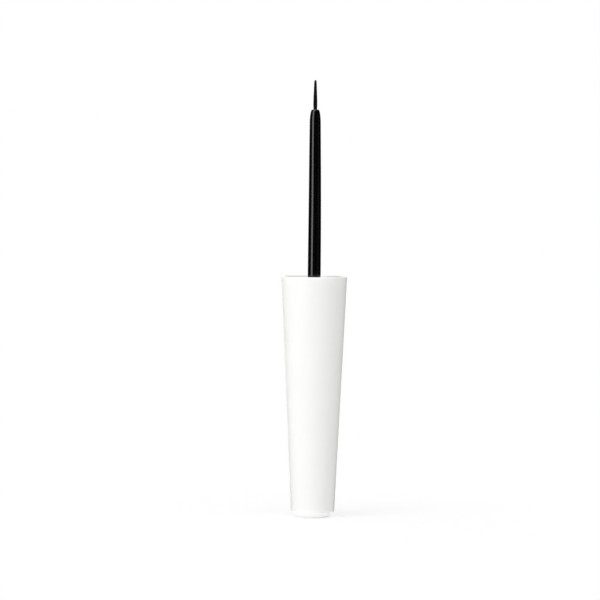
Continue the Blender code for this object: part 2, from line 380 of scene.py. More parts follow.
def columns_with_edges(count, width, side):
    """Even columns, with more of them at both edges of every rib."""
    edges = np.array([width / 2, width / 2 + side / 2, width / 2 + side]) / bore_radius
    centres = even_angles(rib_count)[:, None]
    return merged_angles(even_angles(count), (centres + edges).ravel(), (centres - edges).ravel())


# %% [markdown]
# The rows of the wall are even, with one more just above and just below the seat, so that the smooth shading
# of that step stays close to it. Then each row takes the radius of the rib at its height, on the columns
# where there is a rib.

# %% Make the outer cap
end_wall = 1.6
floor_side = 0.8
floor_round = 0.72
wall_rows = 48
seat_guard = 0.09
cap_columns = 224

even_heights = np.linspace(end_wall + floor_side, cap_length - bead_top_depth - bead_width, wall_rows)
seat_heights = [seat_top - seat_guard, seat_top + seat_guard]
inner_heights = np.unique(np.concatenate([rib_line[:, 1], even_heights, seat_heights]))[::-1][1:]
inner_rows = np.stack([wall_radius(inner_heights), inner_heights], axis=1)
floor_corners = [
    (wall_radius(end_wall + floor_side), end_wall + floor_side, 0),
    (wall_radius(end_wall), end_wall, floor_round),
    (0, end_wall, 0),
]
floor_rows = with_straights(rounded(floor_corners))[1:]
cap_outline = np.concatenate([outside, flare, lip, bead, inner_rows, floor_rows])
cap_radii, cap_heights = np.hsplit(cap_outline, 2)
cap_angles = columns_with_edges(cap_columns, rib_width, rib_side)

on_wall = np.zeros_like(cap_heights, bool)
on_wall[-len(floor_rows) - len(inner_rows) : -len(floor_rows)] = True
has_rib = on_wall & (cap_heights < rib_top) & (cap_heights > rib_foot)
rib_radii = np.interp(cap_heights, rib_line[::-1, 1], rib_line[::-1, 0])
rib_depth = np.where(has_rib, cap_radii - rib_radii, 0.0)
cap_radii = cap_radii - rib_depth * across_ribs(cap_angles, rib_width, rib_side)
outer_cap = solid_piece("cap_shell", turned(cap_radii, cap_heights, cap_angles))

# %% [markdown]
# ## The insert
#
# The neck of the bottle doesn't screw into the white shell but into an insert pressed inside it, which leaves
# the shell's outside free of sink marks. The insert has a thin collar, a skirt with the screw thread on its
# bore, a deck that the seal lies on, and a boss below the deck that grips the stem. The thread is
# right-handed: its centre line climbs one pitch in each turn, and the bore's radius is smaller wherever a
# point of the grid lies near that line. So the rows of the bore lie close together.

# %% Screw thread of the insert
thread_pitch = 2.5
thread_turns = 1.6
thread_lift = 2.6
thread_stand = 0.55
thread_crest = 0.35
thread_flank = 0.42
thread_run_out = radians(38)

thread_foot = deck_top + thread_lift


def thread_share(angle, height):
    """How far the thread stands out of the bore, 0 to 1. A point at angle t lies beside the centre line's
    height foot + pitch * (t + 2 pi n) / 2 pi for the coil n, and the flank slopes down as their distance
    grows."""
    stand = np.zeros(np.broadcast(angle, height).shape)
    whole = 2 * pi * thread_turns
    for coil in range(int(thread_turns) + 1):
        travelled = angle + 2 * pi * coil
        centre = thread_foot + thread_pitch * travelled / (2 * pi)
        flank = (thread_crest / 2 + thread_flank - np.abs(height - centre)) / thread_flank
        run_out = np.minimum(travelled, whole - travelled) / thread_run_out
        stand = np.maximum(stand, smooth_step(flank) * smooth_step(run_out))
    return stand


print(f"thread climbs {thread_pitch * thread_turns:.1f} mm from {thread_lift:.1f} mm above the deck")

# %% Outline of the insert
moulded_edge = 0.15
slight_edge = 0.1
boss_bore = 2.0
boss_radius = 3.1
boss_fillet = 0.3
deck_hole_round = 0.08
deck_fillet = 0.2
plain_bore = 1.0
bore_step = 0.06
brim_drop = 0.25
brim_round = 0.18

brim_middle = (bore_radius + collar_radius) / 2
bore_start = deck_top + plain_bore
skirt_corners = [
    (brim_middle, collar_top, 0),
    (collar_radius, collar_top, moulded_edge),
    (wall_radius(collar_bottom) - insert_gap, collar_bottom, moulded_edge),
    (skirt_radius, collar_bottom, slight_edge),
    (skirt_radius, deck_bottom, moulded_edge),
    (boss_radius, deck_bottom, boss_fillet),
    (boss_radius, insert_foot, moulded_edge),
    (boss_bore, insert_foot, slight_edge),
    (boss_bore, deck_top, deck_hole_round),
    (bore_radius, deck_top, deck_fillet),
    (bore_radius, bore_start, 0),
]
bore_heights = np.arange(bore_start, collar_top - brim_drop, bore_step)[1:]
bore_rows = np.stack([np.full_like(bore_heights, bore_radius), bore_heights], axis=1)
brim_corners = [
    (bore_radius, bore_heights[-1], 0),
    (bore_radius, collar_top, brim_round),
    (brim_middle, collar_top, 0),
]
brim = rounded(brim_corners)[1:-1]
insert_outline = np.concatenate([with_straights(rounded(skirt_corners)), bore_rows, brim])
print(f"insert outline: {len(insert_outline)} rows, {len(bore_rows)} of them for the thread")

# %% [markdown]
# The grooves that the ribs key into are cut the same way, as a smaller radius over a few columns of the
# skirt. A groove takes nearly all of its depth from each row, and not quite all, so that no two rows of the
# grid fall together on its floor.

# %% Make the insert
insert_columns = 200
groove_share = 0.97
groove_width = rib_width + 2 * insert_gap
groove_top = rib_top + insert_gap

insert_angles = columns_with_edges(insert_columns, groove_width, rib_side)
insert_radii, insert_heights = np.hsplit(insert_outline, 2)
on_bore = np.isclose(insert_radii, bore_radius)
insert_radii = insert_radii - on_bore * thread_stand * thread_share(insert_angles, insert_heights)
on_skirt = (insert_heights < groove_top) & (insert_radii > groove_floor)
in_groove = on_skirt * across_ribs(insert_angles, groove_width, rib_side)
insert_radii = insert_radii - groove_share * in_groove * (insert_radii - groove_floor)
inner_cap = ring_piece("threaded_insert", turned(insert_radii, insert_heights, insert_angles))

# %% [markdown]
# ## The seal
#
# A foam washer lies on the deck, held by the stem's flange. The lip of the neck presses on it each time the
# eyeliner is closed, so it carries a shallow ring where it has taken a set.

# %% Make the seal washer
washer_bore = 2.0
washer_edge = 0.12
washer_step = 0.12
washer_columns = 128
lip_mark_radius = 4.0
lip_mark_width = 0.45
lip_mark_depth = 0.07
lip_mark_power = 4

washer_middle = (washer_bore + washer_radius) / 2
washer_corners = [
    (washer_middle, washer_bottom, 0),
    (washer_bore, washer_bottom, washer_edge),
    (washer_bore, washer_top, washer_edge),
    (washer_radius, washer_top, washer_edge),
    (washer_radius, washer_bottom, washer_edge),
    (washer_middle, washer_bottom, 0),
]
washer_outline = with_straights(rounded(washer_corners), washer_step)[:-1]
washer_radii, washer_heights = np.hsplit(washer_outline, 2)
on_top = washer_heights > washer_top - GUARD / 2
mark = np.exp(-(((washer_radii - lip_mark_radius) / lip_mark_width) ** lip_mark_power))
washer_heights = washer_heights - lip_mark_depth * mark * on_top
seal_washer = ring_piece("foam_washer", turned(washer_radii, washer_heights, even_angles(washer_columns)))

# %% [markdown]
# ## The stem
#
# The stem is one black moulding: a rod that thickens very slightly towards the cap, a round nose with a bore
# for the brush, and, hidden in the boss, a flange and a slit plug that snaps home. The nose is a quarter of
# an ellipse, which meets the rod without an edge, so the highlight runs over it in one line. Where black
# meets white the renderer mixes the two by light, which makes the black look about a third of a pixel too
# narrow on each side. So the rod is drawn 0.055 mm larger in radius than it measures, which gives back most
# of that, and the brush is plumped as well.

# %% Rod and nose of the stem
rod_root_radius = 1.565
rod_neck_radius = 1.335
rod_rows = 60
nose_length = 3.5
nose_rows = 34
nose_lip = 0.07
fine_gap = 0.03
flange_thickness = 0.9
root_fillet = 0.5

flange_bottom = washer_top + insert_gap
flange_top = flange_bottom + flange_thickness
rod_foot = flange_top + root_fillet
nose_base = stem_top - nose_length
tip_bore = ferrule_radius + fine_gap
nose_end_radius = tip_bore + nose_lip

rod_share = np.linspace(1, 0, rod_rows)
rod_radii = rod_root_radius - (rod_root_radius - rod_neck_radius) * rod_share**2
rod = np.stack([rod_radii, rod_foot + (nose_base - rod_foot) * rod_share], axis=1)
nose_turn = np.linspace(pi / 2, 0, nose_rows)[1:-1]
nose_radii = nose_end_radius + (rod_neck_radius - nose_end_radius) * np.cos(nose_turn)
nose = np.stack([nose_radii, nose_base + nose_length * np.sin(nose_turn)], axis=1)
print(f"rod {2 * rod_neck_radius:.2f} to {2 * rod_root_radius:.2f} mm thick, with a nose of {nose_length} mm")

# %% Tip, flange and plug of the stem
nose_lip_round = 0.03
hidden_edge = 0.05
flange_edge = 0.15
plug_radius = 1.9
plug_edge = 0.1
barb_radius = 2.2
barb_land = 0.5
barb_nose = 1.6
barb_root_round = 0.03
barb_edge = 0.06
barb_nose_round = 0.15
core_radius = 0.9
core_depth = 8.0

bore_floor = ferrule_foot - fine_gap
barb_top = plug_foot + barb_land + barb_nose
core_top = plug_foot + core_depth
plug_end_radius = 2 * plug_radius - barb_radius
tip_corners = [
    (0, bore_floor, 0),
    (tip_bore, bore_floor, hidden_edge),
    (tip_bore, stem_top, nose_lip_round),
    (nose_end_radius, stem_top, nose_lip_round),
    (*nose[0], 0),
]
foot_corners = [
    (rod_root_radius, rod_foot, 0),
    (rod_root_radius, flange_top, root_fillet - round_slack),
    (flange_radius, flange_top, flange_edge),
    (flange_radius, flange_bottom, hidden_edge),
    (plug_radius, flange_bottom, hidden_edge),
    (plug_radius, barb_top, barb_root_round),
    (barb_radius, barb_top, barb_edge),
    (barb_radius, barb_top - barb_land, barb_nose_round),
    (plug_end_radius, plug_foot, plug_edge),
    (core_radius, plug_foot, plug_edge),
    (core_radius, core_top, plug_edge),
    (0, core_top, 0),
]
tip_rows = with_straights(rounded(tip_corners))[:-1]
foot_rows = with_straights(rounded(foot_corners))[1:]
stem_outline = np.concatenate([tip_rows, nose, rod, foot_rows])
print(f"stem outline: {len(stem_outline)} rows")

# %% [markdown]
# A mould of two halves leaves a parting line on both sides of the stem, a ridge thinner than a hair. It gets
# a few fine columns of its own. A rod so thin also cools with a slight bow, which is a sideways shift of its
# points that grows from both ends as the square of a sine.

# %% Make the stem
stem_columns = 128
seam_height = 0.012
seam_width = 0.05
seam_split = 4
seam_reach = 6
bow_reach = 0.05

seam_angles = np.arange(-seam_reach, seam_reach + 1) * 2 * pi / (stem_columns * seam_split)
stem_angles = merged_angles(even_angles(stem_columns), seam_angles, seam_angles + pi)
seam_off = np.abs((stem_angles + pi / 2) % pi - pi / 2) * rod_root_radius / seam_width
seam = seam_height * np.exp(-(seam_off**2))
stem_radii, stem_heights = np.hsplit(stem_outline, 2)
on_rod = (stem_heights > rod_foot) & (stem_radii > tip_bore + 2 * nose_lip_round)
stem_grid = turned(stem_radii + on_rod * seam, stem_heights, stem_angles)
bow_share = np.clip((stem_heights - flange_top) / (stem_top - flange_top), 0, 1)
stem_grid[:, :, 0] += bow_reach * np.sin(pi * bow_share) ** 2
stem = solid_piece("stem_rod", stem_grid)

# %% [markdown]
# The plug is slit so that it can spring through the boss. A slit has two flat sides and isn't a change of
# radius, so this is the one place where a Boolean is the plain way: two crossing blades are taken out of the
# plug.

# %% Slit the plug
slit_width = 0.6
slit_length = 5.0
blade_over = 0.5
box_sides = np.array([(0, 1, 3, 2), (4, 6, 7, 5), (0, 4, 5, 1), (2, 3, 7, 6), (0, 2, 6, 4), (1, 5, 7, 3)])


def blade(name, half_length, half_width):
    """A flat box across the axis that reaches from under the plug to the end of its slits."""
    signs = np.array([(x, y) for x in (-1, 1) for y in (-1, 1)])
    flat = signs * (half_length, half_width)
    heights = np.tile([plug_foot - blade_over, plug_foot + slit_length], len(flat))
    points = np.column_stack([np.repeat(flat, 2, axis=0), heights])
    return make_piece(name, points, [box_sides])


def cut_out(piece, cutter):
    """Takes the cutter out of the piece for good, and removes the cutter."""
    modifier = piece.modifiers.new("slit", "BOOLEAN")
    modifier.operation = "DIFFERENCE"
    modifier.solver = "EXACT"
    modifier.object = cutter
    evaluated = piece.evaluated_get(bpy.context.evaluated_depsgraph_get())
    carved = bpy.data.meshes.new_from_object(evaluated)
    piece.modifiers.clear()
    piece.data = carved
    bpy.data.objects.remove(cutter)


blade_reach = barb_radius + blade_over
cut_out(stem, blade("slit_blade_x", blade_reach, slit_width / 2))
cut_out(stem, blade("slit_blade_y", slit_width / 2, blade_reach))
print("stem after its slits:", len(stem.data.polygons), "faces")

# %% [markdown]
# ## The ferrule
#
# The bristles are gripped by a thin metal tube, crimped round their root and pushed into the nose. Only its
# edge shows, from above. The crimp is a waist in both walls, with the six shallow dents of the crimping jaws.

# %% Make the ferrule
ferrule_wall = 0.15
ferrule_edge = 0.04
ferrule_step = 0.08
ferrule_columns = 96
root_recess = 0.2
crimp_depth = 0.06
crimp_half = 0.4
jaw_count = 6
jaw_depth = 0.012

root_top = ferrule_top - root_recess
crimp_height = (root_foot + root_top) / 2
tube_bore = ferrule_radius - ferrule_wall
tube_middle = (ferrule_foot + ferrule_top) / 2
ferrule_corners = [
    (ferrule_radius, tube_middle, 0),
    (ferrule_radius, ferrule_foot, ferrule_edge),
    (tube_bore, ferrule_foot, ferrule_edge),
    (tube_bore, ferrule_top, ferrule_edge),
    (ferrule_radius, ferrule_top, ferrule_edge),
    (ferrule_radius, tube_middle, 0),
]
ferrule_outline = with_straights(rounded(ferrule_corners), ferrule_step)[:-1]
ferrule_angles = even_angles(ferrule_columns)
tube_radii, tube_heights = np.hsplit(ferrule_outline, 2)
waist = smooth_step(1 - np.abs(tube_heights - crimp_height) / crimp_half)
jaws = jaw_depth * np.cos(jaw_count * ferrule_angles)
tube_radii = tube_radii - waist * (crimp_depth + jaws - jaw_depth)
tuft_ferrule = ring_piece("crimped_ferrule", turned(tube_radii, tube_heights, ferrule_angles))

# %% [markdown]
# ## The brush
#
# The brush is the part that the eyeliner is bought for: a few hundred black filaments, each finer towards its
# end, which together swell a little above the ferrule and then close to a fine blunt tip. Blender's own hair
# is made of particles or curves, and a piece has to be a mesh. So the filaments are computed all at once:
# their feet lie on a sunflower spiral, which packs a disc evenly, and every filament keeps its share of the
# brush's width all the way up, so none of them cross.

# %% Shape of the brush
bundle_radius = 0.42
belly_radius = 0.5
belly_height = 1.3
taper_share = 0.47
taper_power = 1.25


def brush_radius(height):
    """Radius of the whole brush at a height above the stem: it swells as a parabola to the belly, then
    narrows by a power of the way from there to the tip."""
    free = brush_tip - stem_top
    swell = 1 - np.clip((belly_height - height) / (belly_height + stem_top - root_top), 0, 1) ** 2
    way = np.clip((height - belly_height) / (free - belly_height), 0, 1)
    below = bundle_radius + (belly_radius - bundle_radius) * swell
    return np.where(height < belly_height, below, belly_radius * (1 - taper_share * way**taper_power))


for above in (0, 2, 4, 6, 7):
    print(f"brush {2 * float(brush_radius(above)):.2f} mm wide at {above} mm above the stem")

# %% [markdown]
# Filament n of N stands at the golden angle times n, and at the square root of n / N of the way out, so that
# each has the same share of the disc. Its levels lie closer together towards the tip, where it bends inwards,
# and a slow sine makes it waver a little. All the random numbers come from one seed, so every run grows the
# same brush.

# %% Grow the filaments
strand_count = 520
strand_sides = 5
strand_levels = 8
golden_angle = pi * (3 - 5**0.5)
random_seed = 20
spiral_share = 0.955
strand_fill = 0.95
tip_round = 0.3
ragged = 0.06
level_power = 0.85
drift_reach = 0.012
drift_pace = 0.9
strand_taper = 0.6
taper_start = 0.45

rng = np.random.default_rng(random_seed)
strand_number = np.arange(strand_count)
spot_reach = spiral_share * np.sqrt((strand_number + 0.5) / strand_count)
spot_turn = (strand_number * golden_angle)[:, None]
strand_radius = strand_fill * belly_radius / np.sqrt(strand_count)

length = brush_tip - root_top - tip_round * spot_reach**2 - ragged * rng.random(strand_count)
length[0] = brush_tip - root_top
level = np.linspace(0, 1, strand_levels) ** level_power
height = root_top + length[:, None] * level
spread = spot_reach[:, None] * brush_radius(height - stem_top)
drift = drift_reach * np.sin(height * drift_pace + 2 * pi * rng.random(strand_count)[:, None]) * level
centre_x = spread * np.cos(spot_turn) + drift
centre_y = spread * np.sin(spot_turn) + drift[:, ::-1] * level

narrowing = strand_taper * smooth_step((level - taper_start) / (1 - taper_start))
thickness = (strand_radius * (1 - narrowing))[None, :, None]
side_turn = (even_angles(strand_sides) + rng.random(strand_count)[:, None] * 2 * pi)[:, None, :]
ring_x = centre_x[:, :, None] + thickness * np.cos(side_turn)
ring_y = centre_y[:, :, None] + thickness * np.sin(side_turn)
ring_z = np.broadcast_to(height[:, :, None], ring_x.shape)
strand_points = np.stack([ring_x, ring_y, ring_z], axis=-1).reshape(-1, 3)
print(f"{strand_count} filaments, {2 * strand_radius:.3f} mm thick at the root")

# %% [markdown]
# Below the filaments, inside the ferrule, their roots are fused into one slug. It is turned like the other
# pieces and joined to the filaments in one mesh. A value painted on every filament then lets the material
# make each one a little lighter or darker than the next.

# %% Make the brush
slug_columns = 48
slug_edge = 0.05
slug_waist_round = 0.3
slug_rise = 0.02

slug_top = root_top + slug_rise
slug_corners = [
    (0, root_foot, 0),
    (root_radius, root_foot, slug_edge),
    (root_radius, crimp_height - crimp_half, 0),
    (root_radius - crimp_depth, crimp_height, slug_waist_round),
    (root_radius, crimp_height + crimp_half, 0),
    (root_radius, slug_top, slug_edge),
    (0, slug_top, 0),
]
slug_outline = with_straights(rounded(slug_corners))
slug_points, slug_faces = closed_body(turned(*np.hsplit(slug_outline, 2), even_angles(slug_columns)))


def strand_faces():
    """Quads up the sides of every filament, one face that closes its end and one that closes its foot."""
    ids = np.arange(len(strand_points)).reshape(strand_count, strand_levels, strand_sides)
    turned_ids = np.roll(ids, -1, axis=2)
    sides = np.stack([ids[:, :-1], turned_ids[:, :-1], turned_ids[:, 1:], ids[:, 1:]], axis=-1)
    return [sides.reshape(-1, 4), ids[:, -1], ids[:, 0, ::-1]]


brush_points = np.concatenate([strand_points, slug_points])
brush_faces = strand_faces() + [group + len(strand_points) for group in slug_faces]
brush_tuft = make_piece("liner_brush", brush_points, brush_faces)

slug_shade = 0.5
strand_shades = np.repeat(rng.random(strand_count), strand_levels * strand_sides)
shade = np.concatenate([strand_shades, np.full(len(slug_points), slug_shade)]).astype(np.float32)
painted_shade = brush_tuft.data.attributes.new("strand_shade", "FLOAT", "POINT")
painted_shade.data.foreach_set("value", shade)

# %% [markdown]
# ## Finishes
#
# Five plastics and one metal. None of them is one flat colour: the gloss of a moulding wavers a little with
# the polish of its mould, the natural insert is cloudy, and foam has cells, painted darker in their pits as
# painted shade. Every pattern reads Object coordinates, in metres, so a scale of 1000 gives features about a
# millimetre across. The denoiser takes gloss under a roughness of about 0.27 for a mirror, and a finish that
# wavers across that value comes out in patches with sharp edges. So the roughness of each finish keeps to one
# side of it.

# %% Tools for nodes
def add_node(tree, kind, inputs, **settings):
    """Adds a node and sets it up. Each input, given by name or number, takes a plain value or the output of
    another node."""
    node = tree.nodes.new(kind)
    for name, setting in settings.items():
        setattr(node, name, setting)
    for name, value in inputs.items():
        if isinstance(value, bpy.types.NodeSocket):
            tree.links.new(value, node.inputs[name])
        else:
            node.inputs[name].default_value = value
    return node


def object_place(tree):
    """Each point's place in Object coordinates, in metres."""
    return tree.nodes.new("ShaderNodeTexCoord").outputs["Object"]


# %% Tools for finishes
FACTOR_LOW = 0.3
FACTOR_HIGH = 0.7


def new_finish(name, colour, roughness, specular=0.5):
    """A material with one Principled shader. Values that are the same all over stay on its own sockets."""
    material = bpy.data.materials.new(name)
    material.use_nodes = True
    shader = material.node_tree.nodes["Principled BSDF"]
    shader.inputs["Base Color"].default_value = (*colour, 1)
    shader.inputs["Roughness"].default_value = roughness
    shader.inputs["Specular IOR Level"].default_value = specular
    material.diffuse_color = (*colour, 1)
    return material, shader


def let_light_in(shader, weight, colour_reach, reach_mm):
    """Lets light wander under the surface: reach_mm times colour_reach is how far red, green and blue get."""
    shader.inputs["Subsurface Weight"].default_value = weight
    shader.inputs["Subsurface Radius"].default_value = colour_reach
    shader.inputs["Subsurface Scale"].default_value = reach_mm * MM


def noise(shader, per_metre, detail=2.0, stretch=(1, 1, 1)):
    """Factor of a noise on Object coordinates, with per_metre features to the metre."""
    tree = shader.id_data
    place = add_node(tree, "ShaderNodeMapping", {"Vector": object_place(tree), "Scale": stretch})
    inputs = {"Vector": place.outputs["Vector"], "Scale": per_metre, "Detail": detail}
    return add_node(tree, "ShaderNodeTexNoise", inputs).outputs["Fac"]


def vary_gloss(shader, factor, low, high):
    """Moves the roughness evenly from low to high over the middle of a factor of 0 to 1."""
    tree = shader.id_data
    limits = {"From Min": FACTOR_LOW, "From Max": FACTOR_HIGH, "To Min": low, "To Max": high}
    ranges = add_node(tree, "ShaderNodeMapRange", {"Value": factor, **limits})
    tree.links.new(ranges.outputs["Result"], shader.inputs["Roughness"])


def vary_colour(shader, factor, dark, light):
    """Moves the colour evenly from dark to light over the middle of a factor of 0 to 1."""
    tree = shader.id_data
    ramp = add_node(tree, "ShaderNodeValToRGB", {"Fac": factor})
    stops = zip(ramp.color_ramp.elements, (FACTOR_LOW, FACTOR_HIGH), (dark, light))
    for stop, position, colour in stops:
        stop.position = position
        stop.color = (*colour, 1)
    tree.links.new(ramp.outputs["Color"], shader.inputs["Base Color"])


def emboss(shader, factor, depth_mm, strength=1.0):
    """Lets a factor raise the surface by a depth in millimetres."""
    tree = shader.id_data
    inputs = {"Height": factor, "Distance": depth_mm * MM, "Strength": strength}
    bump = add_node(tree, "ShaderNodeBump", inputs)
    tree.links.new(bump.outputs["Normal"], shader.inputs["Normal"])


# %% [markdown]
# The cap is a white of high gloss. Its colour stays a little below paper white, so that the light has room to
# shape it. A very faint waviness, far wider than it is deep, bends the edge of a reflection as a real
# moulding does, and the gloss is a touch duller in patches where hands have been.

# %% Glossy white of the cap
cap_white, shader = new_finish("cap_white", (0.902, 0.902, 0.886), roughness=0.24)
let_light_in(shader, weight=0.4, colour_reach=(1.0, 0.95, 0.85), reach_mm=0.9)
vary_gloss(shader, noise(shader, per_metre=140, detail=4.0), low=0.21, high=0.26)
vary_colour(shader, noise(shader, per_metre=60), dark=(0.898, 0.897, 0.881), light=(0.905, 0.905, 0.891))
emboss(shader, noise(shader, per_metre=420, detail=1.0, stretch=(1, 1, 0.35)), depth_mm=0.004)

# %% [markdown]
# The insert is natural polypropylene: milky, satin, and letting a little light into itself. The foam is
# duller and has fine cells, drawn by a Voronoi texture as small pits. Its colour is darker towards the middle
# of each pit, where the pit is deepest, which is painted shade.

# %% Milky insert and foam seal
insert_natural, shader = new_finish("insert_natural", (0.84, 0.85, 0.82), roughness=0.38)
let_light_in(shader, weight=0.3, colour_reach=(1.0, 1.0, 0.9), reach_mm=0.9)
vary_gloss(shader, noise(shader, per_metre=700, detail=3.0), low=0.3, high=0.46)
vary_colour(shader, noise(shader, per_metre=250), dark=(0.8, 0.815, 0.79), light=(0.87, 0.875, 0.85))
emboss(shader, noise(shader, per_metre=3000), depth_mm=0.004)

cells_per_metre = 6500
washer_foam, shader = new_finish("washer_foam", (0.88, 0.88, 0.85), roughness=0.85, specular=0.3)
foam_inputs = {"Vector": object_place(shader.id_data), "Scale": cells_per_metre}
cells = add_node(shader.id_data, "ShaderNodeTexVoronoi", foam_inputs)
# Painted shade: the colour darkens towards each cell's middle, where the bump below makes the pit deepest.
vary_colour(shader, cells.outputs["Distance"], dark=(0.78, 0.78, 0.75), light=(0.9, 0.9, 0.87))
emboss(shader, cells.outputs["Distance"], depth_mm=0.04, strength=0.6)

# %% [markdown]
# The stem is black all through and very glossy, with the long faint draw marks that a rod gets as it leaves
# its mould. They run along it, so their noise is stretched along Z.

# %% Glossy black of the stem
stem_black, shader = new_finish("stem_black", (0.0012, 0.0012, 0.0014), roughness=0.14, specular=0.66)
drawn = noise(shader, per_metre=900, detail=3.0, stretch=(1, 1, 0.08))
vary_gloss(shader, drawn, low=0.1, high=0.19)
vary_colour(shader, drawn, dark=(0.0009, 0.0009, 0.0011), light=(0.0015, 0.0015, 0.0017))
emboss(shader, noise(shader, per_metre=2200, stretch=(1, 1, 0.03)), depth_mm=0.0012)

# %% [markdown]
# The ferrule is a drawn tube of bare metal. Drawing leaves lines along it, too fine to model as grooves, so a
# noise stretched along Z makes its gloss waver from line to line. A coarser one lets its colour drift.

# %% Drawn metal of the ferrule
ferrule_metal, shader = new_finish("ferrule_metal", (0.76, 0.73, 0.67), roughness=0.36)
shader.inputs["Metallic"].default_value = 1.0
vary_gloss(shader, noise(shader, per_metre=9000, detail=3.0, stretch=(1, 1, 0.05)), low=0.29, high=0.43)
vary_colour(shader, noise(shader, per_metre=1500), dark=(0.7, 0.67, 0.6), light=(0.82, 0.79, 0.73))

# %% [markdown]
# The filaments are black, smooth and a little glossy. The value painted on each one moves it between a
# neutral and a faintly brown black, which keeps them apart in a close view.

# %% Black of the filaments
bristle_black, shader = new_finish("bristle_black", (0.004, 0.004, 0.004), roughness=0.34, specular=0.2)
painted = add_node(shader.id_data, "ShaderNodeAttribute", {}, attribute_name="strand_shade")
vary_colour(shader, painted.outputs["Fac"], dark=(0.002, 0.002, 0.002), light=(0.008, 0.007, 0.0065))
vary_gloss(shader, noise(shader, per_metre=8000), low=0.3, high=0.42)

# %% [markdown]
# ## Seat the pieces
#
# Each piece stands for one node of the frame, rides on the applicator's only body and belongs to one material
# slot of the record.

# %% Give each piece its node, body and finish
dressed = [
    (outer_cap, "outer_cap", "cap_white", cap_white),
    (inner_cap, "inner_cap", "insert_natural", insert_natural),
    (seal_washer, "seal_washer", "washer_foam", washer_foam),
    (stem, "stem", "stem_black", stem_black),
    (tuft_ferrule, "tuft_ferrule", "ferrule_metal", ferrule_metal),
    (brush_tuft, "brush_tuft", "bristle_black", bristle_black),
]
for piece, node, slot, finish in dressed:
    piece.data.materials.clear()
    piece.data.materials.append(finish)
    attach(piece, "root")
    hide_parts(node)
print("dressed:", ", ".join(row[1] for row in dressed))

# %% [markdown]
# ## The table
#
# The applicator stands on a plain white table before a white backdrop. White can't come from brighter lamps,
# which would burn out the cap. So the table and the world show the camera, mirrors and glass a white of
# strength 1. Round the foot a share s of the table's look is its own lit surface, which keeps the soft
# shadow. That surface is L bright where nothing shades it, so the glow's strength is (1 - s L) / (1 - s), and
# the open table comes out at 1. The share fades out before the table's edge, where no horizon should show.
# The lit surface also glows faintly to every ray, which lights the foot from below.

# %% Tools for white light
WHITE = (1, 1, 1, 1)


def math_of(tree, operation, first, second):
    """Result of a Math node on two numbers, each of them plain or the output of another node."""
    return add_node(tree, "ShaderNodeMath", {0: first, 1: second}, operation=operation).outputs["Value"]


def seen_or_mirrored(tree):
    """1 for a ray from the camera, from a mirror or through glass, and 0 for one that only brings light."""
    path = tree.nodes.new("ShaderNodeLightPath").outputs
    either = math_of(tree, "MAXIMUM", path["Is Camera Ray"], path["Is Glossy Ray"])
    return math_of(tree, "MAXIMUM", either, path["Is Transmission Ray"])


def eased(tree, value, start, end, low, high):
    """A number that goes from low to high as the value goes from start to end, by 3 s^2 - 2 s^3."""
    limits = {"From Min": start, "From Max": end, "To Min": low, "To Max": high}
    ease = add_node(tree, "ShaderNodeMapRange", {"Value": value, **limits}, interpolation_type="SMOOTHSTEP")
    return ease.outputs["Result"]


def white_light(tree, kind, strength):
    """White light of a strength, by an Emission node on a surface or a Background node in the world."""
    return add_node(tree, kind, {"Color": WHITE, "Strength": strength}).outputs[0]


def show_mixed(tree, output, factor, first, second):
    """Sends the output the first look where the factor is 0 and the second where it is 1."""
    mixed = add_node(tree, "ShaderNodeMixShader", {0: factor, 1: first, 2: second})
    tree.links.new(mixed.outputs["Shader"], output.inputs["Surface"])


# %% Table
table_radius = 160.0
table_edge = 12.0
table_edge_round = 2.0
table_columns = 128

table_corners = [
    (0, 0, 0),
    (table_radius, 0, table_edge_round),
    (table_radius, -table_edge, 0),
    (0, -table_edge, 0),
]
table_grid = turned(*np.hsplit(rounded(table_corners), 2), even_angles(table_columns))
table = solid_piece("table", table_grid)

# %% White of the table
shadow_share = 0.35
shadow_reach = 70.0
table_light = 0.22
open_table = 1.11

table_white, shader = new_finish("table_white", (0.92, 0.92, 0.92), roughness=0.9, specular=0.1)
tree = table_white.node_tree
away = add_node(tree, "ShaderNodeVectorMath", {0: object_place(tree)}, operation="LENGTH").outputs["Value"]
glow_share = eased(tree, away, start=0.0, end=shadow_reach * MM, low=1 - shadow_share, high=1.0)
excess = math_of(tree, "DIVIDE", open_table - 1, glow_share)
glow = white_light(tree, "ShaderNodeEmission", math_of(tree, "SUBTRACT", open_table, excess))
under_light = white_light(tree, "ShaderNodeEmission", table_light)
lit = add_node(tree, "ShaderNodeAddShader", {0: shader.outputs["BSDF"], 1: under_light}).outputs["Shader"]
glow_seen = math_of(tree, "MULTIPLY", seen_or_mirrored(tree), glow_share)
show_mixed(tree, tree.nodes["Material Output"], glow_seen, lit, glow)
table.data.materials.append(table_white)
print(f"table {2 * table_radius:.0f} mm wide, with a lit share of {shadow_share} at the foot")

# %% [markdown]
# The room itself gives most of the light. It is nearly twice as bright below the horizon as above it, as if
# the white table went on for metres, so that the rim gets as much light from below as the foot gets from the
# table.

# %% World
fill_above = 0.52
fill_below = 0.96
horizon_blur = 0.08
backdrop_white = 1.0

world = bpy.data.worlds.new("studio")
bpy.context.scene.world = world
world.use_nodes = True
tree = world.node_tree
tree.nodes.clear()
direction = tree.nodes.new("ShaderNodeTexCoord").outputs["Generated"]
upward = add_node(tree, "ShaderNodeSeparateXYZ", {"Vector": direction}).outputs["Z"]
fill = eased(tree, upward, start=-horizon_blur, end=horizon_blur, low=fill_below, high=fill_above)
room = white_light(tree, "ShaderNodeBackground", fill)
backdrop = white_light(tree, "ShaderNodeBackground", backdrop_white)
show_mixed(tree, tree.nodes.new("ShaderNodeOutputWorld"), seen_or_mirrored(tree), room, backdrop)
print(f"room {fill_above} bright above the horizon and {fill_below} below it")

